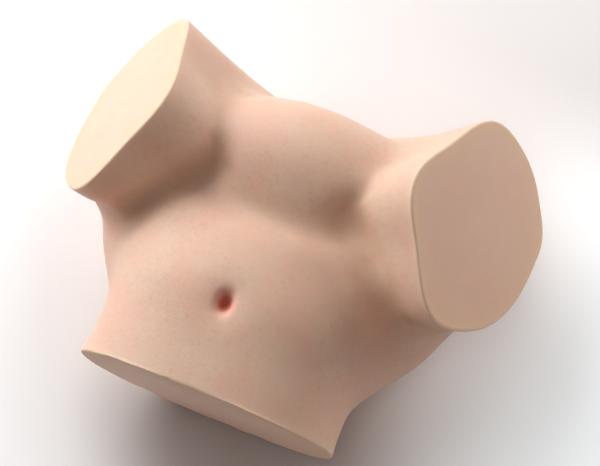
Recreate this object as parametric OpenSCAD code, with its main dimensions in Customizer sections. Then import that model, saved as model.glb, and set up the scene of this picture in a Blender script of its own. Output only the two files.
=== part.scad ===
// Lower torso display form: a layered soft casting of an adult's hips, lying on its back.
// +Z is up (belly side), +X is across, +Y runs from the waist to the thigh stubs.
// The origin is on the surface that the form lies on, under its middle.

/* [Body] */
// Half the breadth of the waist at its cut face
waist_half_breadth = 128; // [110:1:150]
// Height of the belly above the body's long axis, at the waist
belly_rise = 85; // [72:1:98]
// Height of the body's long axis above the surface it lies on
axis_height = 84; // [74:1:92]
// Distance from the middle to the waist cut face
waist_reach = 171; // [145:1:195]
// Half the breadth across the hips, without the thigh stubs
hip_half_breadth = 176; // [155:1:190]

/* [Thigh stubs] */
// Sideways distance of a stub's cut face centre
stub_out = 184; // [165:1:205]
// Distance of a stub's cut face centre towards the thigh end
stub_along = 70; // [58:1:82]
// Height of a stub's cut face centre above the long axis
stub_up = 56; // [44:1:68]
// Long half axis of a stub's cut face
stub_long = 100; // [88:1:110]
// Short half axis of a stub's cut face
stub_short = 80; // [70:1:90]
// Angle that a stub's cut face looks up, above level
stub_tilt = 44; // [36:1:52]
// Angle that a stub's cut face turns towards the thigh end
stub_yaw = 8; // [0:1:16]

/* [Layers] */
// Thickness of the outer skin
skin_wall = 6; // [4:0.5:9]
// Thickness of the soft filling inside the skin
fill_wall = 26; // [18:1:32]
// Thickness of the three end caps
cap_wall = 5; // [3:0.5:8]
// Gap between two layers
layer_gap = 0.3; // [0.2:0.05:0.5]
// Gap between the soft filling and the cores
core_gap = 0.6; // [0.5:0.05:0.9]

/* [Core] */
// Outer diameter of the steel tube that holds the cores in the mould
tube_d = 32; // [25:1:38]
// Wall of that tube
tube_wall = 2; // [1.5:0.25:4]
// Distance past the middle at which the tube ends, inside the trunk core
tube_end = 58; // [20:1:70]
// Diameter of the dowel between the trunk core and a thigh core
dowel_d = 20; // [14:1:26]
// Length of that dowel
dowel_len = 70; // [50:1:80]
// Distance from a stub's cut face to where its core meets the trunk core
core_split = 58; // [50:1:70]
// Thickness of the tube's end plug head
plug_head = 4; // [3:0.5:6]

/* [Hidden] */

skin_colour = [0.91, 0.75, 0.64];
cap_colour = [0.84, 0.68, 0.60];
fill_colour = [0.93, 0.80, 0.72];
foam_colour = [0.90, 0.88, 0.78];
steel_colour = [0.70, 0.71, 0.73];
rubber_colour = [0.16, 0.16, 0.17];

// ---- The body's form, as a field: below 0 inside, above 0 outside ----

function clamp01(v) = max(0, min(1, v));
function ease(v) = let (c = clamp01(v)) c * c * (3 - 2 * c);
// The lower of two fields, rounded over k where they meet
function blend(a, b, k) = let (h = clamp01(0.5 + 0.5 * (b - a) / k)) b + (a - b) * h - k * h * (1 - h);
function unit(v) = v / norm(v);

function ellipsoid_field(p, centre, radii) =
    let (q = [for (i = [0:2]) (p[i] - centre[i]) / radii[i]],
         s = [for (i = [0:2]) q[i] / radii[i]])
    norm(q) * (norm(q) - 1) / (norm(s) + 1e-9);

// The trunk is a squarish oval tube that flares a little at the waist, sinks in front of the
// lower belly and closes in a round end between the thighs
trunk_squareness = 2.3;
trunk_flare = 0.002;
trunk_narrowest = -138;
trunk_sink = 24;
trunk_end = 126;
function trunk_field(p) =
    let (half_w = waist_half_breadth + trunk_flare * pow(p[1] - trunk_narrowest, 2),
         half_h = belly_rise - trunk_sink * ease((p[1] + 90) / 110),
         q = pow(pow(abs(p[0] / half_w), trunk_squareness)
               + pow(abs(p[2] / half_h), trunk_squareness), 1 / trunk_squareness))
    -blend(-(q - 1) * half_h * 0.95, trunk_end - p[1], 52);

// A thigh is a tapered oval column from the hip to its cut face, with a soft ridge on its inner side
stub_face = [stub_out, stub_along, stub_up];
stub_normal = [cos(stub_tilt) * cos(stub_yaw), cos(stub_tilt) * sin(stub_yaw), sin(stub_tilt)];
hip_root = [stub_out - 112, stub_along - 18, stub_up - 106];
root_long = stub_long - 5;
root_short = stub_short;
ridge = 0.08;
thigh_axis = unit(stub_face - hip_root);
thigh_length = norm(stub_face - hip_root);
thigh_u = unit([0, 1, 0] - thigh_axis * thigh_axis[1]);
thigh_v = cross(thigh_axis, thigh_u) * (cross(thigh_axis, thigh_u)[2] < 0 ? 1 : -1);
function thigh_field(p) =
    let (r = p - hip_root,
         along = r * thigh_axis,
         u = r * thigh_u,
         v = r * thigh_v,
         s = max(-0.3, min(1.5, along / thigh_length)),
         half_u = root_long + (stub_long - root_long) * s,
         half_v = root_short + (stub_short - root_short) * s,
         q = norm([u / half_u, v / half_v, min(along, 0) / 70]),
         swell = ridge * cos(4 * atan2(v, u)) * ease(0.5 - v / half_v) * clamp01(q))
    (q / (1 + swell) - 1) * half_v * 0.92;

// Each ellipsoid has its centre and its three radii. The last number of a blend is the width, in
// millimetres, over which two shapes run into each other. abs(x) is rounded at the middle plane.
function body_field(p) =
    let (m = [norm([p[0], 3]), p[1], p[2]],
         hips = ellipsoid_field(m, [0, -20, -24], [hip_half_breadth, 110, 66]),
         seat = ellipsoid_field(m, [hip_half_breadth - 90, 46, -24], [100, 100, 60]),
         belly = ellipsoid_field(m, [0, -60, belly_rise - 71], [104, 84, 62]),
         front = ellipsoid_field(m, [0, 74, 28], [102, 61, 57]),
         trunk = blend(blend(blend(trunk_field(m), hips, 34), seat, 40), belly, 34))
    blend(blend(trunk, front, 26), thigh_field(m), 16);

// The whole form in the part's own frame, flattened where it lies on the surface
function form_field(p) = max(body_field(p - [0, 0, axis_height]), -p[2]);

// ---- Points on a layer of the form ----
// A layer is the surface at one depth under the skin. Half of it is a grid. Its outer ring runs
// down one side of the waist's cut plane and back up along the middle plane. Each row then crosses
// the hip to a ring round the thigh's cut plane. An inset moves a cut plane inwards.

waist_rows = 16;
middle_rows = 28;
rows = waist_rows + middle_rows;
columns = 11;
cut_inset = cap_wall + layer_gap;

// Rows fan out about an axis through a point inside the hip
hip = [60, 0, axis_height + 5];
fan_axis = unit([0.82, 0.50, 0.10]);
fan_a = unit([0, -1, 0] + fan_axis * fan_axis[1]);
fan_b = cross(fan_axis, fan_a);
middle_start = hip - fan_axis * (hip[0] / fan_axis[0]);

// Distance from o along the unit vector d to where the field is minus depth, by secant steps
function reach(o, d, depth, t0, f0, t1, tries) =
    let (f1 = form_field(o + d * t1) + depth,
         slope = max(0.15, (f1 - f0) / (abs(t1 - t0) < 1e-9 ? 1e-9 : t1 - t0)))
    tries == 0 || abs(f1) < 1e-6 ? t1 :
    reach(o, d, depth, t1, f1, t1 - max(-30, min(30, f1 / slope)), tries - 1);
function cast(o, direction, depth) =
    let (d = unit(direction), f0 = form_field(o) + depth)
    o + d * reach(o, d, depth, 0, f0, max(1, -0.9 * f0), 16);

function waist_point(i, depth, inset) =
    let (angle = 180 * i / waist_rows)
    cast([0, inset - waist_reach, axis_height], [sin(angle), 0, cos(angle)], depth);

// Angle of a point of the middle plane about middle_start
function middle_angle(p) = atan2(p[2] - middle_start[2], p[1] - middle_start[1]);

function outer_ring(depth) =
    let (front = middle_angle(waist_point(0, depth, cut_inset)),
         back = middle_angle(waist_point(waist_rows, depth, cut_inset)))
    [for (i = [0:rows - 1])
        let (angle = back + (front - back) * (i - waist_rows) / middle_rows)
        i <= waist_rows ? waist_point(i, depth, cut_inset)
                        : cast(middle_start, [0, cos(angle), sin(angle)], depth)];

// The point on the thigh's cut plane that lies in the same half plane of the fan as p
function stub_point(p, depth, inset) =
    let (a = (p - hip) * fan_a,
         b = (p - hip) * fan_b,
         side = (fan_a * a + fan_b * b) / norm([a, b]))
    cast(stub_face + [0, 0, axis_height] - stub_normal * inset,
         side - fan_axis * ((side * stub_normal) / (fan_axis * stub_normal)), depth);

function between(d0, d1, s) =
    let (turn = acos(d0 * d1))
    (d0 * sin((1 - s) * turn) + d1 * sin(s * turn)) / sin(turn);

// One row for each point of the outer ring: the stub rings, the columns between, then the waist
// rings. A row that ends at the middle plane repeats its last point in place of the waist rings.
function half_grid(depth, stub_insets, waist_insets) =
    let (outer = outer_ring(depth))
    [for (i = [0:rows - 1])
        let (stub = [for (inset = stub_insets) stub_point(outer[i], depth, inset)],
             edge = [for (inset = waist_insets) i <= waist_rows ? waist_point(i, depth, inset) : outer[i]],
             d0 = unit(stub[len(stub) - 1] - hip),
             d1 = unit(edge[0] - hip))
        concat(stub, [for (j = [1:columns - 1]) cast(hip, between(d0, d1, j / columns), depth)], edge)];

// ---- Solids from grids ----

function flat(lists) = [for (list = lists) each list];
function mirrored(points) = [for (p = points) [-p[0], p[1], p[2]]];
function both_halves(grid) = let (points = flat(grid)) concat(points, mirrored(points));
// A quad as two triangles, turned round where turned is true
function quad(a, b, c, d, turned) = turned ? [[a, c, b], [a, d, c]] : [[a, b, c], [a, c, d]];

// Faces of one whole layer whose points start at base. width is the number of columns, and the
// last extra of them are waist rings, which only the waist rows have.
function layer_faces(base, width, extra, inward) =
    [for (half = [0, 1], i = [0:rows - 1], j = [0:width - 2])
        if (j < width - 1 - extra || i < waist_rows)
            let (p = base + half * rows * width + i * width + j,
                 q = base + half * rows * width + ((i + 1) % rows) * width + j)
            each quad(p, q, q + 1, p + 1, (half == 1) != inward)];

// A wall between two layers, open at the waist and at both stubs
module layer_shell(outer_depth, inner_depth, stub_insets, waist_insets) {
    outer = half_grid(outer_depth, stub_insets, waist_insets);
    inner = half_grid(inner_depth, stub_insets, waist_insets);
    width = len(outer[0]);
    count = 2 * rows * width;
    extra = len(waist_insets) - 1;
    stub_rims = [for (half = [0, 1], i = [0:rows - 1])
        let (p = half * rows * width + i * width, q = half * rows * width + ((i + 1) % rows) * width)
        each quad(p, p + count, q + count, q, half == 1)];
    waist_rims = [for (half = [0, 1], i = [0:waist_rows - 1])
        let (p = half * rows * width + i * width + width - 1)
        each quad(p, p + width, p + width + count, p + count, half == 1)];
    polyhedron(concat(both_halves(outer), both_halves(inner)),
               concat(layer_faces(0, width, extra, false), layer_faces(count, width, extra, true),
                      stub_rims, waist_rims));
}

// A solid inside one layer, with flat ends
module layer_solid(depth, stub_inset, waist_inset) {
    grid = half_grid(depth, [stub_inset], [waist_inset]);
    width = len(grid[0]);
    count = 2 * rows * width;
    stub_centre = middle_of([for (row = grid) row[0]]);
    waist_centre = [0, waist_inset - waist_reach, axis_height];
    stub_ends = [for (half = [0, 1], i = [0:rows - 1])
        let (p = half * rows * width + i * width, q = half * rows * width + ((i + 1) % rows) * width)
        half == 0 ? [count, q, p] : [count + 1, p, q]];
    waist_end = [for (half = [0, 1], i = [0:waist_rows - 1])
        let (p = half * rows * width + i * width + width - 1)
        half == 0 ? [count + 2, p, p + width] : [count + 2, p + width, p]];
    polyhedron(concat(both_halves(grid), [stub_centre], mirrored([stub_centre]), [waist_centre]),
               concat(layer_faces(0, width, 0, false), stub_ends, waist_end));
}

function middle_of(points) = [for (p = points) 1] * points / len(points);

// A block between two rings of points, the first ring outside, with flat ends
module ring_block(outside, inside) {
    n = len(outside);
    polyhedron(concat(outside, inside, [middle_of(outside), middle_of(inside)]),
               [for (i = [0:n - 1])
                   let (k = (i + 1) % n)
                   each concat(quad(i, k, k + n, i + n, false), [[2 * n, k, i], [2 * n + 1, i + n, k + n]])]);
}

function stub_ring(depth, inset) = [for (p = outer_ring(depth)) stub_point(p, depth, inset)];
function waist_ring(depth, inset) =
    let (half = [for (i = [0:waist_rows]) waist_point(i, depth, inset)])
    concat([for (i = [waist_rows:-1:0]) half[i]],
           mirrored([for (i = [1:waist_rows - 1]) half[i]]));

// ---- Sub-parts ----

under_skin = skin_wall + layer_gap;
core_depth = under_skin + fill_wall + core_gap;
core_middle = stub_face + [0, 0, axis_height] - stub_normal * core_split;
stub_turn = [0, 90 - stub_tilt, stub_yaw];
// Clearance round the dowels, the tube and the plug's stem
dowel_fit = 0.1;
plug_head_d = tube_d + 14;
plug_stem = 24;
tube_start = cut_inset + plug_head - waist_reach;
tube_length = tube_end - tube_start;

module on_left() { mirror([1, 0, 0]) children(); }

module outer_skin() {
    color(skin_colour) layer_shell(0, skin_wall, [0, cut_inset, core_split], [cut_inset, 0]);
}

module soft_fill() {
    color(fill_colour)
        layer_shell(under_skin, under_skin + fill_wall, [cut_inset, core_split], [cut_inset]);
}

module waist_cap() {
    color(cap_colour)
        ring_block(waist_ring(under_skin, 0), waist_ring(under_skin, cap_wall));
}

module thigh_cap() {
    color(cap_colour)
        ring_block(stub_ring(under_skin, 0), stub_ring(under_skin, cap_wall));
}

// A socket or a dowel that lies square across the joint of two cores
module dowel_shape(diameter, length) {
    translate(core_middle) rotate(stub_turn) cylinder(d = diameter, h = length, center = true, $fn = 48);
}

module trunk_core() {
    color(foam_colour) difference() {
        layer_solid(core_depth, core_split, cut_inset);
        translate([0, tube_start, axis_height]) rotate([-90, 0, 0])
            cylinder(d = tube_d + 2 * dowel_fit, h = tube_length + dowel_fit, $fn = 64);
        translate([0, tube_start - plug_head - 1, axis_height]) rotate([-90, 0, 0])
            cylinder(d = plug_head_d + 2 * layer_gap, h = plug_head + 1, $fn = 64);
        dowel_shape(dowel_d + 2 * dowel_fit, dowel_len + 2 * layer_gap);
        on_left() dowel_shape(dowel_d + 2 * dowel_fit, dowel_len + 2 * layer_gap);
    }
}

module thigh_core() {
    color(foam_colour) difference() {
        ring_block(stub_ring(core_depth, cut_inset), stub_ring(core_depth, core_split - layer_gap));
        dowel_shape(dowel_d + 2 * dowel_fit, dowel_len + 2 * layer_gap);
    }
}

module core_dowel() { color("burlywood") dowel_shape(dowel_d, dowel_len); }

module core_tube() {
    color(steel_colour) translate([0, tube_start, axis_height]) rotate([-90, 0, 0]) difference() {
        cylinder(d = tube_d, h = tube_length, $fn = 64);
        translate([0, 0, -1]) cylinder(d = tube_d - 2 * tube_wall, h = tube_length + 2, $fn = 64);
    }
}

module core_tube_plug() {
    color(rubber_colour) translate([0, tube_start, axis_height]) rotate([-90, 0, 0]) union() {
        translate([0, 0, -plug_head]) cylinder(d = plug_head_d, h = plug_head, $fn = 64);
        cylinder(d = tube_d - 2 * tube_wall - 2 * dowel_fit, h = plug_stem, $fn = 64);
    }
}

outer_skin();
soft_fill();
waist_cap();
on_left() thigh_cap();  // left_thigh_cap
thigh_cap();  // right_thigh_cap
trunk_core();
on_left() thigh_core();  // left_thigh_core
thigh_core();  // right_thigh_core
on_left() core_dowel();  // left_core_dowel
core_dowel();  // right_core_dowel
core_tube();
core_tube_plug();
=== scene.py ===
"""Looks of the lower torso display form: a soft, skin-coloured casting of an adult's hips on its back.

The skin, its soft filling and the three end caps are layers of one smooth field, worked out in
millimetres with numpy and laid on grids. The cores, dowels, tube and plug are the CAD model's own.
"""

import bpy
import numpy as np
from mathutils import Matrix, Vector


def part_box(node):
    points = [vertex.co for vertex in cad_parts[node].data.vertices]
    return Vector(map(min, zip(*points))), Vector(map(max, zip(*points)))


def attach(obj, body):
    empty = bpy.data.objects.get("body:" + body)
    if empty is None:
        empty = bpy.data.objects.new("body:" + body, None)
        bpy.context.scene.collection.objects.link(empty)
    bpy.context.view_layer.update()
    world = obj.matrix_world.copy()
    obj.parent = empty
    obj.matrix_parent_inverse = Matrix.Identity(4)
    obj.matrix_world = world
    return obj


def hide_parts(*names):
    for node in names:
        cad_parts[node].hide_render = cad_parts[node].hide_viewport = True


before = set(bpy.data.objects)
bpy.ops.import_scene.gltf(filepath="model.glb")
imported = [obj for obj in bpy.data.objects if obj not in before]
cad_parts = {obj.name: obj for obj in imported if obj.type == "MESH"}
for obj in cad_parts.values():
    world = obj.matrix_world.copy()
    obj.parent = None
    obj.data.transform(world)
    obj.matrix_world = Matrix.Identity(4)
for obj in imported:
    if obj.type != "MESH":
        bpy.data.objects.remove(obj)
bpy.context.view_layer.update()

MM = 0.001


# ---- Sizes, in millimetres, from the CAD model ----

def node_box(name):
    """Lowest and highest corner of a CAD node, in millimetres."""
    low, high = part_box(name)
    return np.array(low) / MM, np.array(high) / MM


skin_low, skin_high = node_box("outer_skin")
waist_low, waist_high = node_box("waist_cap")
WAIST_REACH = -skin_low[1]
CAP_WALL = waist_high[1] - waist_low[1]
FILL_LOW = node_box("soft_fill")[0]
CORE_LOW = node_box("trunk_core")[0]
LAYER_GAP = 0.3
CORE_GAP = 0.6
SKIN_WALL = FILL_LOW[2] - LAYER_GAP
FILL_WALL = CORE_LOW[2] - FILL_LOW[2] - CORE_GAP

# The body's own measures, as in the CAD model
AXIS_HEIGHT = 84.0
WAIST_HALF_BREADTH = 128.0
BELLY_RISE = 85.0
HIP_HALF_BREADTH = 176.0
STUB_FACE = np.array([184.0, 70.0, 56.0 + AXIS_HEIGHT])
STUB_LONG = 100.0
STUB_SHORT = 80.0
STUB_TILT = np.radians(44.0)
STUB_YAW = np.radians(8.0)
STUB_NORMAL = np.array([np.cos(STUB_TILT) * np.cos(STUB_YAW),
                        np.cos(STUB_TILT) * np.sin(STUB_YAW),
                        np.sin(STUB_TILT)])


# ---- The form as a field: below 0 inside, above 0 outside ----

def unit(v):
    """Vectors scaled to length 1."""
    return v / np.linalg.norm(v, axis=-1, keepdims=True)


def ease(v):
    """0 below 0, 1 above 1, and a smooth step, 3v^2 - 2v^3, between."""
    c = np.clip(v, 0, 1)
    return c * c * (3 - 2 * c)


def blend(a, b, k):
    """The lower of two fields, rounded by a parabola over the width k where they meet."""
    h = np.clip(0.5 + 0.5 * (b - a) / k, 0, 1)
    return b + (a - b) * h - k * h * (1 - h)


def ellipsoid(p, centre, radii):
    """Near distance to an ellipsoid: the scaled radius less 1, over the length of its slope."""
    q = (p - centre) / radii
    r = np.linalg.norm(q, axis=-1)
    return r * (r - 1) / (np.linalg.norm(q / radii, axis=-1) + 1e-9)


def trunk(p):
    """A squarish oval tube that flares at the waist, sinks before the lower belly and ends round."""
    half_w = WAIST_HALF_BREADTH + 0.002 * (p[..., 1] + 138) ** 2
    half_h = BELLY_RISE - 24 * ease((p[..., 1] + 90) / 110)
    q = (np.abs(p[..., 0] / half_w) ** 2.3 + np.abs(p[..., 2] / half_h) ** 2.3) ** (1 / 2.3)
    return -blend(-(q - 1) * half_h * 0.95, 126 - p[..., 1], 52)


FACE = STUB_FACE - [0, 0, AXIS_HEIGHT]
ROOT = FACE - [112, 18, 106]
THIGH_AXIS = unit(FACE - ROOT)
THIGH_LENGTH = np.linalg.norm(FACE - ROOT)
THIGH_U = unit(np.array([0, 1, 0]) - THIGH_AXIS * THIGH_AXIS[1])
THIGH_V = np.cross(THIGH_AXIS, THIGH_U)
THIGH_V = THIGH_V * (1 if THIGH_V[2] < 0 else -1)


def thigh(p):
    """A tapered oval column from the hip to its cut face, with a soft ridge on the inner side."""
    r = p - ROOT
    along, u, v = r @ THIGH_AXIS, r @ THIGH_U, r @ THIGH_V
    s = np.clip(along / THIGH_LENGTH, -0.3, 1.5)
    half_u = STUB_LONG - 5 + 5 * s
    q = np.sqrt((u / half_u) ** 2 + (v / STUB_SHORT) ** 2 + (np.minimum(along, 0) / 70) ** 2)
    swell = 0.08 * np.cos(4 * np.arctan2(v, u)) * ease(0.5 - v / STUB_SHORT) * np.clip(q, 0, 1)
    return (q / (1 + swell) - 1) * STUB_SHORT * 0.92


def masses(p):
    """The fields of the three masses: the trunk with its hips, seat and belly, the lower front, a thigh."""
    m = np.stack([np.sqrt(p[..., 0] ** 2 + 9), p[..., 1], p[..., 2] - AXIS_HEIGHT], -1)
    body = blend(trunk(m), ellipsoid(m, [0, -20, -24], [HIP_HALF_BREADTH, 110, 66]), 34)
    body = blend(body, ellipsoid(m, [HIP_HALF_BREADTH - 90, 46, -24], [100, 100, 60]), 40)
    body = blend(body, ellipsoid(m, [0, -60, BELLY_RISE - 71], [104, 84, 62]), 34)
    return body, ellipsoid(m, [0, 74, 28], [102, 61, 57]), thigh(m)


def form(p):
    """The whole form: the three masses blended, and flat at the bottom."""
    body, front, leg = masses(p)
    return np.maximum(blend(blend(body, front, 26), leg, 16), -p[..., 2])


def slope(p):
    """Unit outward normal: central differences of the field over a millimetre."""
    h = 0.5 * np.eye(3)
    return unit(np.stack([form(p + h[k]) - form(p - h[k]) for k in range(3)], -1))


def cast(start, direction, depth):
    """Where a ray from inside first reaches the field value minus depth, by secant steps."""
    d = unit(direction)
    o = np.broadcast_to(start, d.shape)
    t0 = np.zeros(d.shape[:-1])
    f0 = form(o) + depth
    t1 = np.maximum(1, -0.9 * f0)
    for _ in range(14):
        f1 = form(o + d * t1[..., None]) + depth
        gap = np.where(np.abs(t1 - t0) < 1e-9, 1e-9, t1 - t0)
        step = np.clip(f1 / np.maximum(0.15, (f1 - f0) / gap), -30, 30)
        t0, f0, t1 = t1, f1, t1 - step
    return o + d * t1[..., None]


# ---- Rings and grids on one layer ----

HIP = np.array([60.0, 0.0, AXIS_HEIGHT + 5])
FAN_AXIS = unit(np.array([0.82, 0.50, 0.10]))
FAN_A = unit(np.array([0, -1, 0]) + FAN_AXIS * FAN_AXIS[1])
FAN_B = np.cross(FAN_AXIS, FAN_A)
MIDDLE_START = HIP - FAN_AXIS * (HIP[0] / FAN_AXIS[0])
NAVEL = np.array([0.0, -87.0])


def finer_at_navel(p):
    """How many times finer than elsewhere the grid is at a point: 4 at the navel, 1 far from it."""
    away = (p[..., 0] / 13) ** 2 + ((p[..., 1] - NAVEL[1]) / 17) ** 2
    return 1 + 3 * np.exp(-away) * (p[..., 2] > AXIS_HEIGHT)


def even_steps(points, count):
    """Fractions along sampled curves (last axis but one) that cut their weighted length evenly."""
    step = np.linalg.norm(np.diff(points, axis=-2), axis=-1)
    weight = finer_at_navel((points[..., 1:, :] + points[..., :-1, :]) / 2)
    length = np.cumsum(step * weight, axis=-1)
    length = np.concatenate([np.zeros_like(length[..., :1]), length], -1)
    length = length / length[..., -1:]
    at = np.linspace(0, 1, length.shape[-1])
    want = np.linspace(0, 1, count + 1)
    rows = length.reshape(-1, length.shape[-1])
    return np.array([np.interp(want, row, at) for row in rows]).reshape(*length.shape[:-1], -1)


def waist_points(angle, depth, inset):
    """Points on the waist's cut plane at angles from straight up, round by the side."""
    d = np.stack([np.sin(angle), 0 * angle, np.cos(angle)], -1)
    p = cast(np.array([0, inset - WAIST_REACH, AXIS_HEIGHT]), d, depth)
    p[[0, -1], 0] = 0
    return p


def middle_points(fraction, depth, inset):
    """Points on the middle plane, from the waist's back round by the thigh end to its front."""
    ends = waist_points(np.array([0, np.pi]), depth, inset) - MIDDLE_START
    front, back = np.arctan2(ends[:, 2], ends[:, 1])
    angle = back + (front - back) * fraction
    return cast(MIDDLE_START, np.stack([0 * angle, np.cos(angle), np.sin(angle)], -1), depth)


def stub_points(ring, depth, inset):
    """Points on the thigh's cut plane, each in the same half plane of the fan as the ring's point."""
    r = ring - HIP
    side = unit((r @ FAN_A)[:, None] * FAN_A + (r @ FAN_B)[:, None] * FAN_B)
    d = side - FAN_AXIS * ((side @ STUB_NORMAL) / (FAN_AXIS @ STUB_NORMAL))[:, None]
    return cast(STUB_FACE - STUB_NORMAL * inset, d, depth)


class Layout:
    """Row and column places that every layer of one piece shares."""

    def __init__(self, waist_rows, middle_rows, columns, inset):
        self.waist_rows, self.columns, self.inset = waist_rows, columns, inset
        fine = np.linspace(0, np.pi, 400)
        step = even_steps(waist_points(fine, 0, inset), waist_rows)
        self.waist_angle = step * np.pi
        fine = np.linspace(0, 1, 1200)
        self.middle = even_steps(middle_points(fine, 0, inset), middle_rows)[1:-1]
        self.rows = waist_rows + middle_rows
        start, end = self.ends(0)
        s = np.linspace(0, 1, 80)
        self.across = even_steps(cast(HIP, self.between(start, end, s), 0), columns)

    def outer(self, depth):
        """The outer ring: down the waist's side, then back along the middle plane."""
        return np.concatenate([waist_points(self.waist_angle, depth, self.inset),
                               middle_points(self.middle, depth, self.inset)])

    def ends(self, depth):
        """Directions from the hip to each row's two ends."""
        ring = self.outer(depth)
        return unit(stub_points(ring, depth, self.inset) - HIP), unit(ring - HIP)

    @staticmethod
    def between(start, end, s):
        """Directions at fractions s of the arc between two directions."""
        turn = np.arccos((start * end).sum(-1))[:, None, None]
        s = np.broadcast_to(s, (len(start), np.shape(s)[-1]))[..., None]
        return (np.sin((1 - s) * turn) * start[:, None] + np.sin(s * turn) * end[:, None]) / np.sin(turn)

    def grid(self, depth):
        """One layer's half grid at a depth: rows by columns + 1 points."""
        ring = self.outer(depth)
        start, end = self.ends(depth)
        inner = cast(HIP, self.between(start, end, self.across[:, 1:-1]), depth)
        inner[..., 1] = np.maximum(inner[..., 1], self.inset - WAIST_REACH)
        return np.concatenate([stub_points(ring, depth, self.inset)[:, None], inner, ring[:, None]], 1)


# ---- Fine shapes: moves along the surface's normal ----

def navel_depth(p):
    """How far the navel sinks: a steep upright oval well inside a shallow soft bowl."""
    x, y = p[..., 0], p[..., 1] - NAVEL[1]
    well = np.exp(-((np.abs(x / 7.0) ** 2.4 + np.abs(y / 9.6) ** 2.4)))
    bowl = np.exp(-((x / 18) ** 2 + ((y + 1) / 20) ** 2))
    return (9.5 * well + 4.0 * bowl) * (p[..., 2] > AXIS_HEIGHT)


def crease_share(p):
    """1 along the folds where a thigh meets the trunk and the lower front, fading to 0 about 2 cm away.

    Two masses meet where their fields are equal, so the fold's line is where the difference is small.
    Beside the lower front the line moves a little up the thigh and the fold is shallower.
    """
    body, front, leg = masses(p)
    line = 2 + 8 * ease((p[..., 1] - 30) / 50)
    groin = np.exp(-((np.minimum(body, front) - leg - line) / 13) ** 2)
    upper = ease((p[..., 2] - AXIS_HEIGHT - 8) / 26)
    return groin * upper * (1 - 0.65 * ease((p[..., 1] - 30) / 45))


def front_share(p):
    """1 along the shallow hollow between the belly and the lower front, fading to 0 at the thighs."""
    body, front, leg = masses(p)
    ring = np.exp(-((front - body - 18) / 16) ** 2) * ease((p[..., 2] - AXIS_HEIGHT - 30) / 20)
    return ring * ease((leg + 2) / 14)


def hollows(p):
    """Soft dents: the folds at the thighs, the hollow above the lower front and a dent in each flank."""
    x, y, z = np.abs(p[..., 0]), p[..., 1], p[..., 2] - AXIS_HEIGHT
    flank = np.exp(-(((x - 136) / 20) ** 2 + ((y + 32) / 22) ** 2 + ((z - 46) / 26) ** 2))
    return 4.0 * flank + 8.5 * crease_share(p) + 6.0 * front_share(p)


def waves(p):
    """Slow unevenness of a hand-finished mould: three sums of sines, under half a millimetre."""
    x, y, z = p[..., 0], p[..., 1], p[..., 2]
    return (0.22 * np.sin(x / 19 + 1.3) * np.sin(y / 23 - 0.4) + 0.16 * np.sin(z / 13 + x / 31)
            + 0.10 * np.sin(y / 9 + z / 17) * np.sin(x / 11))


def finish_surface(p, share):
    """Points moved inwards by the fine shapes, in full where share is 1, and not below the rest face."""
    sink = (navel_depth(p) + hollows(p) + waves(p)) * share
    moved = p - slope(p) * sink[..., None]
    moved[..., 2] = np.where(p[..., 2] < 0.5, p[..., 2], np.maximum(moved[..., 2], 0))
    return moved


def cut_waves(p):
    """Points with the waist's cut made a little uneven, and one small nick in its front edge.

    The cut moves inwards by up to 2 mm, and the back of the cap by less than LAYER_GAP, so that it
    stays clear of the filling.
    """
    x, edge = p[..., 0], np.exp(-(p[..., 1] + WAIST_REACH) / 2.5)
    rough = 0.22 * (1 + np.sin(x / 6.5 + 1.1)) * (1 + np.sin(x / 17))
    nick = 1.1 * np.exp(-(((x + 20) / 3) ** 2)) * ease((p[..., 2] - AXIS_HEIGHT - 60) / 20)
    return p + np.stack([0 * x, (rough + nick) * edge, 0 * x], -1)


# ---- Meshes ----

class Surface:
    """Points and triangles gathered for one mesh, with the attributes of each point."""

    def __init__(self):
        self.points, self.faces, self.count = [], [], 0

    def add(self, points):
        """Adds points and gives their numbers, in the shape they came in."""
        index = self.count + np.arange(points[..., 0].size).reshape(points.shape[:-1])
        self.points.append(points.reshape(-1, 3))
        self.count += index.size
        return index

    def strip(self, index, closed=False, flip=False):
        """Two triangles for each cell of a grid of numbers. A closed grid joins its last row to its first."""
        if closed:
            index = np.concatenate([index, index[:1]])
        a, b, c, d = index[:-1, :-1], index[:-1, 1:], index[1:, 1:], index[1:, :-1]
        cells = np.stack([a, b, c, a, c, d] if not flip else [a, c, b, a, d, c], -1)
        self.faces.append(cells.reshape(-1, 3))

    def fan(self, ring, centre, flip=False):
        """Triangles from a closed ring of numbers to one centre."""
        after = np.roll(ring, -1)
        middle = np.full_like(ring, centre)
        self.faces.append(np.stack([middle, ring, after] if not flip else [middle, after, ring], -1))

    def mirrored(self):
        """The points and faces with their mirror image across the middle plane, welded there."""
        p, f = np.concatenate(self.points), np.concatenate(self.faces)
        twin = np.where(np.abs(p[:, 0]) < 1e-4, np.arange(len(p)), len(p) + np.arange(len(p)))
        both = np.concatenate([p, p * [-1, 1, 1]])
        faces = np.concatenate([f, twin[f][:, ::-1]])
        used, compact = np.unique(faces, return_inverse=True)
        return both[used], compact.reshape(faces.shape)


def make_piece(name, points, faces, material, values=None):
    """A smooth-shaded mesh object that rides on the form. values are point attributes by name."""
    mesh = bpy.data.meshes.new(name)
    mesh.from_pydata(points * MM, [], faces)
    mesh.shade_smooth()
    mesh.set_sharp_from_angle(angle=np.radians(40))
    for key, value in (values or {}).items():
        mesh.attributes.new(key, "FLOAT", "POINT").data.foreach_set("value", value.astype(np.float32))
    mesh.materials.append(material)
    piece = bpy.data.objects.new(name, mesh)
    bpy.context.scene.collection.objects.link(piece)
    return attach(piece, "root")


RIM_ROUND = 2.2
RIM_FLATS = (3.2, 4.4)
EDGE_TURNS = np.radians([15, 30, 45, 60, 75, 90])
LIP_GAP = 0.02
CAP_SINK = 0.02


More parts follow.
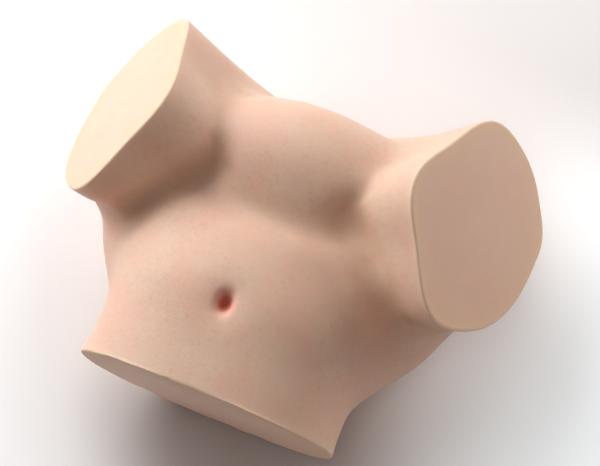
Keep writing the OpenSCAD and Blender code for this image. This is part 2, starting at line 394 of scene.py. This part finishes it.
def rim_profile(lip):
    """(inset, depth) steps in from the outer layer: a quarter circle and the flat rim, as far as the lip."""
    corner = [(RIM_ROUND * (1 - np.sin(a)), RIM_ROUND * (1 - np.cos(a))) for a in EDGE_TURNS]
    return corner + [(0, depth) for depth in (*RIM_FLATS, lip)]


def every(step, count):
    """Column numbers 0, step, 2 step and so on, with the last one always among them."""
    return np.unique(np.append(np.arange(0, count + 1, step), count))


def wall_surface(layout, outer_depth, wall, inner_step, profile, inner_share):
    """Half of a closed wall: outer layer, inner layer, and the profile's strips round both cuts.

    The inner layer takes inner_share of the fine shapes that the outer one takes in full.
    """
    s = Surface()
    ring = layout.outer(outer_depth)
    outer = s.add(finish_surface(layout.grid(outer_depth), 1))
    thin = layout.grid(outer_depth + wall)[:, every(inner_step, layout.columns)]
    inner = s.add(finish_surface(thin, inner_share))
    s.strip(outer, closed=True)
    s.strip(inner, closed=True, flip=True)
    stub = [s.add(stub_points(ring, outer_depth + d, i)) for i, d in profile]
    s.strip(np.stack([inner[:, 0]] + stub[::-1] + [outer[:, 0]], 1), closed=True)
    down = slice(0, layout.waist_rows + 1)
    waist = [s.add(waist_points(layout.waist_angle, outer_depth + d, i)) for i, d in profile]
    s.strip(np.stack([outer[down, -1]] + waist + [inner[down, -1]], 1))
    return s.mirrored()


DISC_STEPS = 1 - np.linspace(0, 1, 17)[:-1] ** 1.5


def disc_block(ring, top, bottom, inward):
    """A closed flat block: discs of shrinking rings above and below, and the edge between them.

    A ring's points move towards the disc's middle by the step's share. The top face dips by up to a
    quarter of a millimetre between its edge and its middle, with slow waves, as a poured face does.
    """
    s = Surface()
    centre = ring.mean(0)
    share = DISC_STEPS[:, None, None]
    faces = []
    for level, dip in ((top, 1), (bottom, 0)):
        disc = centre + (ring - centre) * share + inward * level
        sink = dip * (1 - share[..., 0]) * (0.25 + 0.4 * waves(disc))
        disc = disc + inward * np.maximum(sink, 0)[..., None]
        index = s.add(disc)
        middle = s.add((centre + inward * (level + dip * 0.2))[None])[0]
        faces.append((index, middle))
    (upper, upper_middle), (lower, lower_middle) = faces
    s.strip(upper.T, closed=True)
    s.strip(lower.T, closed=True, flip=True)
    s.strip(np.stack([lower[0], upper[0]], 1), closed=True)
    s.fan(upper[-1], upper_middle, flip=True)
    s.fan(lower[-1], lower_middle)
    return np.concatenate(s.points), np.concatenate(s.faces)


# ---- Shader maths ----

class Value:
    """A shader socket that adds Math nodes when it is used in an expression."""

    def __init__(self, paint, socket):
        self.paint, self.socket = paint, socket

    def math(self, operation, a, b):
        return self.paint.node("ShaderNodeMath", {"operation": operation}, {0: a, 1: b})

    def __add__(self, other):
        return self.math("ADD", self, other)

    def __radd__(self, other):
        return self.math("ADD", other, self)

    def __sub__(self, other):
        return self.math("SUBTRACT", self, other)

    def __rsub__(self, other):
        return self.math("SUBTRACT", other, self)

    def __mul__(self, other):
        return self.math("MULTIPLY", self, other)

    def __rmul__(self, other):
        return self.math("MULTIPLY", other, self)

    def __pow__(self, other):
        return self.math("POWER", self, other)


class Paint:
    """One procedural material. Its shader's own sockets hold whatever is the same all over."""

    def __init__(self, name, **fixed):
        self.material = bpy.data.materials.new(name)
        self.material.use_nodes = True
        self.tree = self.material.node_tree
        self.shader = self.tree.nodes["Principled BSDF"]
        for key, value in fixed.items():
            self.shader.inputs[key.replace("_", " ")].default_value = value
        self.place = self.node("ShaderNodeTexCoord", output="Object")

    def node(self, kind, settings=None, sockets=None, output=0):
        """Adds a node: its settings first, then a value or a link for each named socket."""
        new = self.tree.nodes.new(kind)
        for key, value in (settings or {}).items():
            setattr(new, key, value)
        for key, value in (sockets or {}).items():
            if isinstance(value, Value):
                self.tree.links.new(value.socket, new.inputs[key])
            else:
                new.inputs[key].default_value = value
        return Value(self, new.outputs[output])

    def noise(self, size, detail=2.0, rough=0.5, place=None):
        """Noise with features of about size metres."""
        return self.node("ShaderNodeTexNoise", None, {"Vector": place or self.place, "Scale": 1 / size,
                                                      "Detail": detail, "Roughness": rough})

    def cells(self, size, spread=1.0):
        """Distance to the nearest of points about size metres apart."""
        return self.node("ShaderNodeTexVoronoi", None, {"Vector": self.place, "Scale": 1 / size,
                                                        "Randomness": spread})

    def step(self, value, low, high, out_low=0.0, out_high=1.0):
        """A smooth step of a value from low to high."""
        return self.node("ShaderNodeMapRange", {"interpolation_type": "SMOOTHSTEP"},
                         {"Value": value, "From Min": low, "From Max": high,
                          "To Min": out_low, "To Max": out_high})

    def distance(self, centre):
        """Distance from a point to centre, in metres."""
        return self.node("ShaderNodeVectorMath", {"operation": "DISTANCE"},
                         {0: self.place, 1: centre}, "Value")

    def attribute(self, name):
        return self.node("ShaderNodeAttribute", {"attribute_name": name}, output="Fac")

    def mix(self, share, a, b):
        """Colour a turning into colour b by share."""
        return self.node("ShaderNodeMix", {"data_type": "RGBA"}, {0: share, 6: a, 7: b}, output=2)

    def bump(self, height, distance, strength=1.0, under=None):
        sockets = {"Height": height, "Distance": distance, "Strength": strength}
        if under:
            sockets["Normal"] = under
        return self.node("ShaderNodeBump", None, sockets)

    def finish(self, colour=None, roughness=None, normal=None, scatter=None):
        for key, value in (("Base Color", colour), ("Roughness", roughness), ("Normal", normal),
                           ("Subsurface Weight", scatter)):
            if value:
                self.tree.links.new(value.socket, self.shader.inputs[key])
        return self.material


def rgb(r, g, b):
    return (r, g, b, 1.0)


# ---- Finishes ----

# The pale colour is painted light: the light that comes through the translucent cut edges. The tan is the
# casting's own outer layer at the very edge.
RIM_TAN = rgb(0.830, 0.555, 0.385)
RIM_PAINTED_LIGHT = rgb(0.860, 0.660, 0.490)


def skin_finish():
    paint = Paint("skin_elastomer", Subsurface_Radius=(1.0, 0.36, 0.20), Subsurface_Scale=0.009,
                  IOR=1.42, Specular_IOR_Level=0.40)
    broad = paint.noise(0.075, 3.0, 0.55)
    fine = paint.noise(0.0085, 3.0, 0.6)
    dapple = paint.noise(0.0042, 3.0, 0.6)
    speck = paint.noise(0.0020, 2.0, 0.5)
    colour = paint.mix(paint.step(broad, 0.36, 0.66), rgb(0.810, 0.580, 0.445), rgb(0.815, 0.530, 0.410))
    colour = paint.mix(0.35 * paint.step(fine, 0.45, 0.75), colour, rgb(0.790, 0.470, 0.370))
    patch = paint.step(paint.noise(0.045, 2.0, 0.5), 0.42, 0.66)
    colour = paint.mix((0.10 + 0.22 * patch) * paint.step(dapple, 0.50, 0.74), colour, rgb(0.700, 0.370, 0.260))
    colour = paint.mix((0.04 + 0.20 * patch) * paint.step(speck, 0.58, 0.74), colour, rgb(0.58, 0.27, 0.19))
    # Painted shading: the folds at the thighs, and more weakly the hollow above the lower front, turn a deeper
    # red-brown.
    colour = paint.mix(0.40 * paint.attribute("crease_shading"), colour, rgb(0.620, 0.350, 0.210))
    rim = paint.attribute("rim")
    # Painted light: the skin lightens towards the cut edges, as if lit through them; the very edge takes the
    # outer layer's tan.
    colour = paint.mix(0.8 * rim, colour, RIM_PAINTED_LIGHT)
    colour = paint.mix(0.9 * paint.step(rim, 0.90, 0.99), colour, RIM_TAN)
    # Painted shading: the navel's well turns deep red, darkest red where it is deepest.
    navel = paint.attribute("navel")
    colour = paint.mix(0.75 * navel, colour, rgb(0.680, 0.230, 0.170))
    colour = paint.mix(0.80 * paint.step(navel, 0.55, 1.0), colour, rgb(0.640, 0.150, 0.095))
    pore = paint.cells(0.0014)
    dots = paint.step(pore, 0.0, 0.50)
    grain = paint.noise(0.0032, 3.0, 0.55)
    normal = paint.bump(dots, 0.00006, 0.5)
    normal = paint.bump(grain, 0.00035, 0.55, normal)
    normal = paint.bump(fine, 0.0006, 0.25, normal)
    roughness = 0.40 + 0.16 * paint.noise(0.03) + 0.05 * fine
    return paint.finish(colour, roughness, normal, 0.40 - 0.40 * rim)


def cap_finish():
    paint = Paint("cap_elastomer", Subsurface_Radius=(1.0, 0.36, 0.20), Subsurface_Scale=0.009,
                  IOR=1.42, Specular_IOR_Level=0.40)
    broad = paint.noise(0.045, 3.0, 0.55)
    speck = paint.cells(0.016)
    colour = paint.mix(paint.step(broad, 0.35, 0.68), rgb(0.820, 0.545, 0.420), rgb(0.805, 0.525, 0.405))
    colour = paint.mix(0.25 * paint.step(speck, 0.055, 0.03), colour, rgb(0.55, 0.33, 0.27))
    rim = paint.attribute("rim")
    colour = paint.mix(0.9 * rim, colour, RIM_TAN)
    normal = paint.bump(paint.noise(0.006, 3.0, 0.6), 0.0003, 0.30)
    normal = paint.bump(paint.noise(0.0016, 2.0, 0.5), 0.0001, 0.35, normal)
    roughness = 0.42 + 0.18 * broad
    return paint.finish(colour, roughness, normal, 0.40 - 0.40 * rim)


def fill_finish():
    paint = Paint("gel_filling", Subsurface_Weight=0.4, Subsurface_Radius=(1.0, 0.5, 0.3),
                  Subsurface_Scale=0.012, IOR=1.41)
    cloud = paint.noise(0.03, 4.0, 0.6)
    colour = paint.mix(paint.step(cloud, 0.3, 0.7), rgb(0.84, 0.62, 0.50), rgb(0.88, 0.68, 0.57))
    return paint.finish(colour, 0.30 + 0.2 * cloud, paint.bump(cloud, 0.0008, 0.4))


def foam_finish():
    paint = Paint("rigid_foam", IOR=1.45)
    bead = paint.cells(0.0035)
    colour = paint.mix(paint.step(bead, 0.1, 0.6), rgb(0.80, 0.77, 0.62), rgb(0.66, 0.62, 0.47))
    return paint.finish(colour, 0.80 + 0.15 * bead, paint.bump(bead, 0.0006, 0.7))


def wood_finish():
    paint = Paint("beech_dowel", IOR=1.5)
    stretched = paint.node("ShaderNodeMapping", None, {"Vector": paint.place, "Scale": (1.0, 8.0, 1.0)})
    grain = paint.noise(0.02, 5.0, 0.65, stretched)
    colour = paint.mix(paint.step(grain, 0.35, 0.7), rgb(0.62, 0.42, 0.24), rgb(0.44, 0.27, 0.14))
    return paint.finish(colour, 0.50 + 0.2 * grain, paint.bump(grain, 0.0003, 0.5))


def steel_finish():
    paint = Paint("drawn_steel", Metallic=1.0)
    drawn = paint.node("ShaderNodeMapping", None, {"Vector": paint.place, "Scale": (1.0, 0.03, 1.0)})
    lines = paint.noise(0.0012, 3.0, 0.6, drawn)
    colour = paint.mix(lines, rgb(0.50, 0.51, 0.53), rgb(0.64, 0.65, 0.67))
    return paint.finish(colour, 0.24 + 0.2 * lines, paint.bump(lines, 0.00004, 0.5))


def rubber_finish():
    paint = Paint("plug_rubber")
    dust = paint.noise(0.006, 4.0, 0.6)
    colour = paint.mix(paint.step(dust, 0.4, 0.75), rgb(0.018, 0.018, 0.020), rgb(0.05, 0.048, 0.045))
    return paint.finish(colour, 0.55 + 0.25 * dust, paint.bump(dust, 0.0002, 0.4))


# ---- Pieces ----

SKIN_RIM_FADE = 5.0
CAP_RIM_FADE = 9.0


def rim_share(points):
    """1 at a cut edge, fading over some millimetres of skin."""
    twin = np.abs(points) * [1, 0, 0] + points * [0, 1, 1]
    stub = (STUB_FACE - twin) @ STUB_NORMAL
    waist = points[:, 1] + WAIST_REACH
    return np.exp(-np.maximum(np.minimum(stub, waist), 0) / SKIN_RIM_FADE)


def navel_share(points):
    """1 in the navel's well, fading into its bowl."""
    x, y = points[:, 0], points[:, 1] - NAVEL[1]
    away = (x / 9.5) ** 2 + (y / 12) ** 2
    return np.exp(-away ** 1.3) * (points[:, 2] > AXIS_HEIGHT)


def add_skin():
    layout = Layout(110, 200, 92, RIM_ROUND)
    points, faces = wall_surface(layout, 0, SKIN_WALL, 3, rim_profile(SKIN_WALL), 1)
    # The last attribute marks where painted shading darkens the folds at the thighs and, more weakly, the
    # hollow above the lower front.
    values = {"rim": rim_share(points), "navel": navel_share(points),
              "crease_shading": crease_share(points) + 0.3 * front_share(points)}
    piece = make_piece("skin_casting", cut_waves(points), faces, skin_finish(), values)
    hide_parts("outer_skin")


def add_filling():
    layout = Layout(50, 90, 36, CAP_WALL + LAYER_GAP)
    depth = SKIN_WALL + LAYER_GAP
    profile = [(CAP_WALL + LAYER_GAP, share * FILL_WALL) for share in (0.2, 0.5, 0.8)]
    points, faces = wall_surface(layout, depth, FILL_WALL, 2, profile, 0)
    piece = make_piece("gel_filling", points, faces, fill_finish())
    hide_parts("soft_fill")


def add_caps():
    finish = cap_finish()
    layout = Layout(70, 130, 20, RIM_ROUND)
    depth = SKIN_WALL + LIP_GAP
    stub = stub_points(layout.outer(0), depth, 0)
    half = waist_points(layout.waist_angle, depth, 0)
    waist = np.concatenate([half[::-1], (half * [-1, 1, 1])[1:-1]])
    turn = np.array([-1, 1, 1])
    discs = (("right_thigh_face", "right_thigh_cap", stub, -STUB_NORMAL),
             ("left_thigh_face", "left_thigh_cap", (stub * turn)[::-1], -STUB_NORMAL * turn),
             ("waist_face", "waist_cap", waist, np.array([0.0, 1.0, 0.0])))
    for name, node, ring, inward in discs:
        points, faces = disc_block(ring, CAP_SINK, CAP_WALL, inward)
        edge = np.abs((points - ring.mean(0)) @ inward) < CAP_WALL / 2
        reach = np.linalg.norm(points[:, None] - ring[None], axis=-1).min(1)
        if node == "waist_cap":
            points = cut_waves(points)
        piece = make_piece(name, points, faces, finish, {"rim": np.exp(-reach / CAP_RIM_FADE) * edge})
        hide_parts(node)


def finish_cores():
    """The CAD cores, dowels, tube and plug keep their shapes and get their own finishes."""
    foam, wood, steel, rubber = foam_finish(), wood_finish(), steel_finish(), rubber_finish()
    for name, finish in (("trunk_core", foam), ("left_thigh_core", foam), ("right_thigh_core", foam),
                         ("left_core_dowel", wood), ("right_core_dowel", wood),
                         ("core_tube", steel), ("core_tube_plug", rubber)):
        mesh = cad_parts[name].data
        mesh.materials.clear()
        mesh.materials.append(finish)


# ---- Stage, light and camera ----

def add_floor():
    """A pale floor, with painted light and a painted shadow in what the camera sees of it. An emission seen
    only by the camera brightens it away from the form, like a lit studio sweep: painted light.

    The painted shadow makes it darker just under the waist, where the form shades it, and the painted light
    makes it brighter to the form's left.
    """
    bpy.ops.mesh.primitive_plane_add(size=8, location=(0, 0, -0.0005))
    floor = bpy.context.object
    floor.name = "pale_floor"
    paint = Paint("pale_cloth", Roughness=0.9, Emission_Color=rgb(0.86, 0.96, 1.0))
    # Painted shading of soft cloth folds: broad lighter and darker patches.
    fold = paint.noise(0.35, 2.0, 0.5)
    colour = paint.mix(fold, rgb(0.89, 0.88, 0.885), rgb(0.94, 0.935, 0.94))
    seen = paint.node("ShaderNodeLightPath", output="Is Camera Ray")
    # Painted shadow: camera rays see the floor turn dark near the foot of the waist.
    painted_shadow = seen * paint.step(paint.distance((0.02, -0.16, 0)), 0.06, 0.20, 0.74, 0.0)
    colour = paint.mix(painted_shadow, colour, rgb(0.30, 0.245, 0.23))
    x, y = (paint.node("ShaderNodeSeparateXYZ", None, {0: paint.place}, axis) for axis in (0, 1))
    # Painted light: camera rays see an emission that grows away from the form and to its left, and fades far
    # behind it.
    painted_glow = 0.24 * paint.step(paint.distance((0, 0, 0)), 0.22, 0.38) + 0.24 * paint.step(x, 0.12, 0.28)
    painted_glow = painted_glow * seen * paint.step(y, 0.12, 0.32, 1.0, 0.0)
    paint.tree.links.new(painted_glow.socket, paint.shader.inputs["Emission Strength"])
    floor.data.materials.append(paint.finish(colour))


def add_area_light(name, place, target, size, watts, colour):
    """A rectangular soft box at place, turned to target. size is its breadth and height."""
    light = bpy.data.lights.new(name, "AREA")
    light.shape = "RECTANGLE"
    light.size, light.size_y = size
    light.energy, light.color = watts, colour
    lamp = bpy.data.objects.new(name, light)
    lamp.location = place
    lamp.rotation_euler = (Vector(target) - Vector(place)).to_track_quat("-Z", "Y").to_euler()
    bpy.context.scene.collection.objects.link(lamp)


def add_lights():
    add_area_light("window_key", (-1.06, 0.56, 0.78), (0, 0, 0.05), (1.7, 0.8), 26, (1.0, 0.99, 0.985))
    add_area_light("rim_light", (0.95, 0.95, 0.38), (0, 0, 0.08), (0.65, 0.65), 7, (1.0, 0.99, 0.98))
    add_area_light("overhead_fill", (0.25, -0.45, 2.1), (0, 0, 0.1), (0.9, 0.9), 4, (1.0, 0.94, 0.90))
    add_area_light("low_fill", (1.1, -0.7, 0.35), (0, 0, 0.08), (1.0, 0.6), 0.9, (1.0, 0.95, 0.92))
    world = bpy.data.worlds.new("studio")
    bpy.context.scene.world = world
    world.use_nodes = True
    back = world.node_tree.nodes["Background"]
    back.inputs["Color"].default_value = rgb(1.0, 0.84, 0.76)
    back.inputs["Strength"].default_value = 0.14


def add_camera():
    """A long lens well above the form: a direction by azimuth and elevation, then a roll."""
    azimuth, elevation, roll = np.radians([42.87, 69.84, -20.98])
    target = np.array([0.0275, 0.0097, 0.124])
    distance = 1.2329
    back = np.array([np.sin(azimuth) * np.cos(elevation), -np.cos(azimuth) * np.cos(elevation),
                     np.sin(elevation)])
    side = unit(np.cross([0, 0, 1], back))
    up = np.cross(back, side)
    right = side * np.cos(roll) + up * np.sin(roll)
    top = up * np.cos(roll) - side * np.sin(roll)
    data = bpy.data.cameras.new("camera")
    data.lens, data.sensor_width = 78.03, 36.0
    camera = bpy.data.objects.new("camera", data)
    turn = Matrix(np.stack([right, top, back], 1).tolist()).to_4x4()
    camera.matrix_world = Matrix.Translation(Vector(target + back * distance)) @ turn
    bpy.context.scene.collection.objects.link(camera)
    bpy.context.scene.camera = camera


bpy.context.scene.view_settings.view_transform = "Standard"
add_camera()
add_floor()
add_lights()
add_skin()
add_filling()
add_caps()
finish_cores()
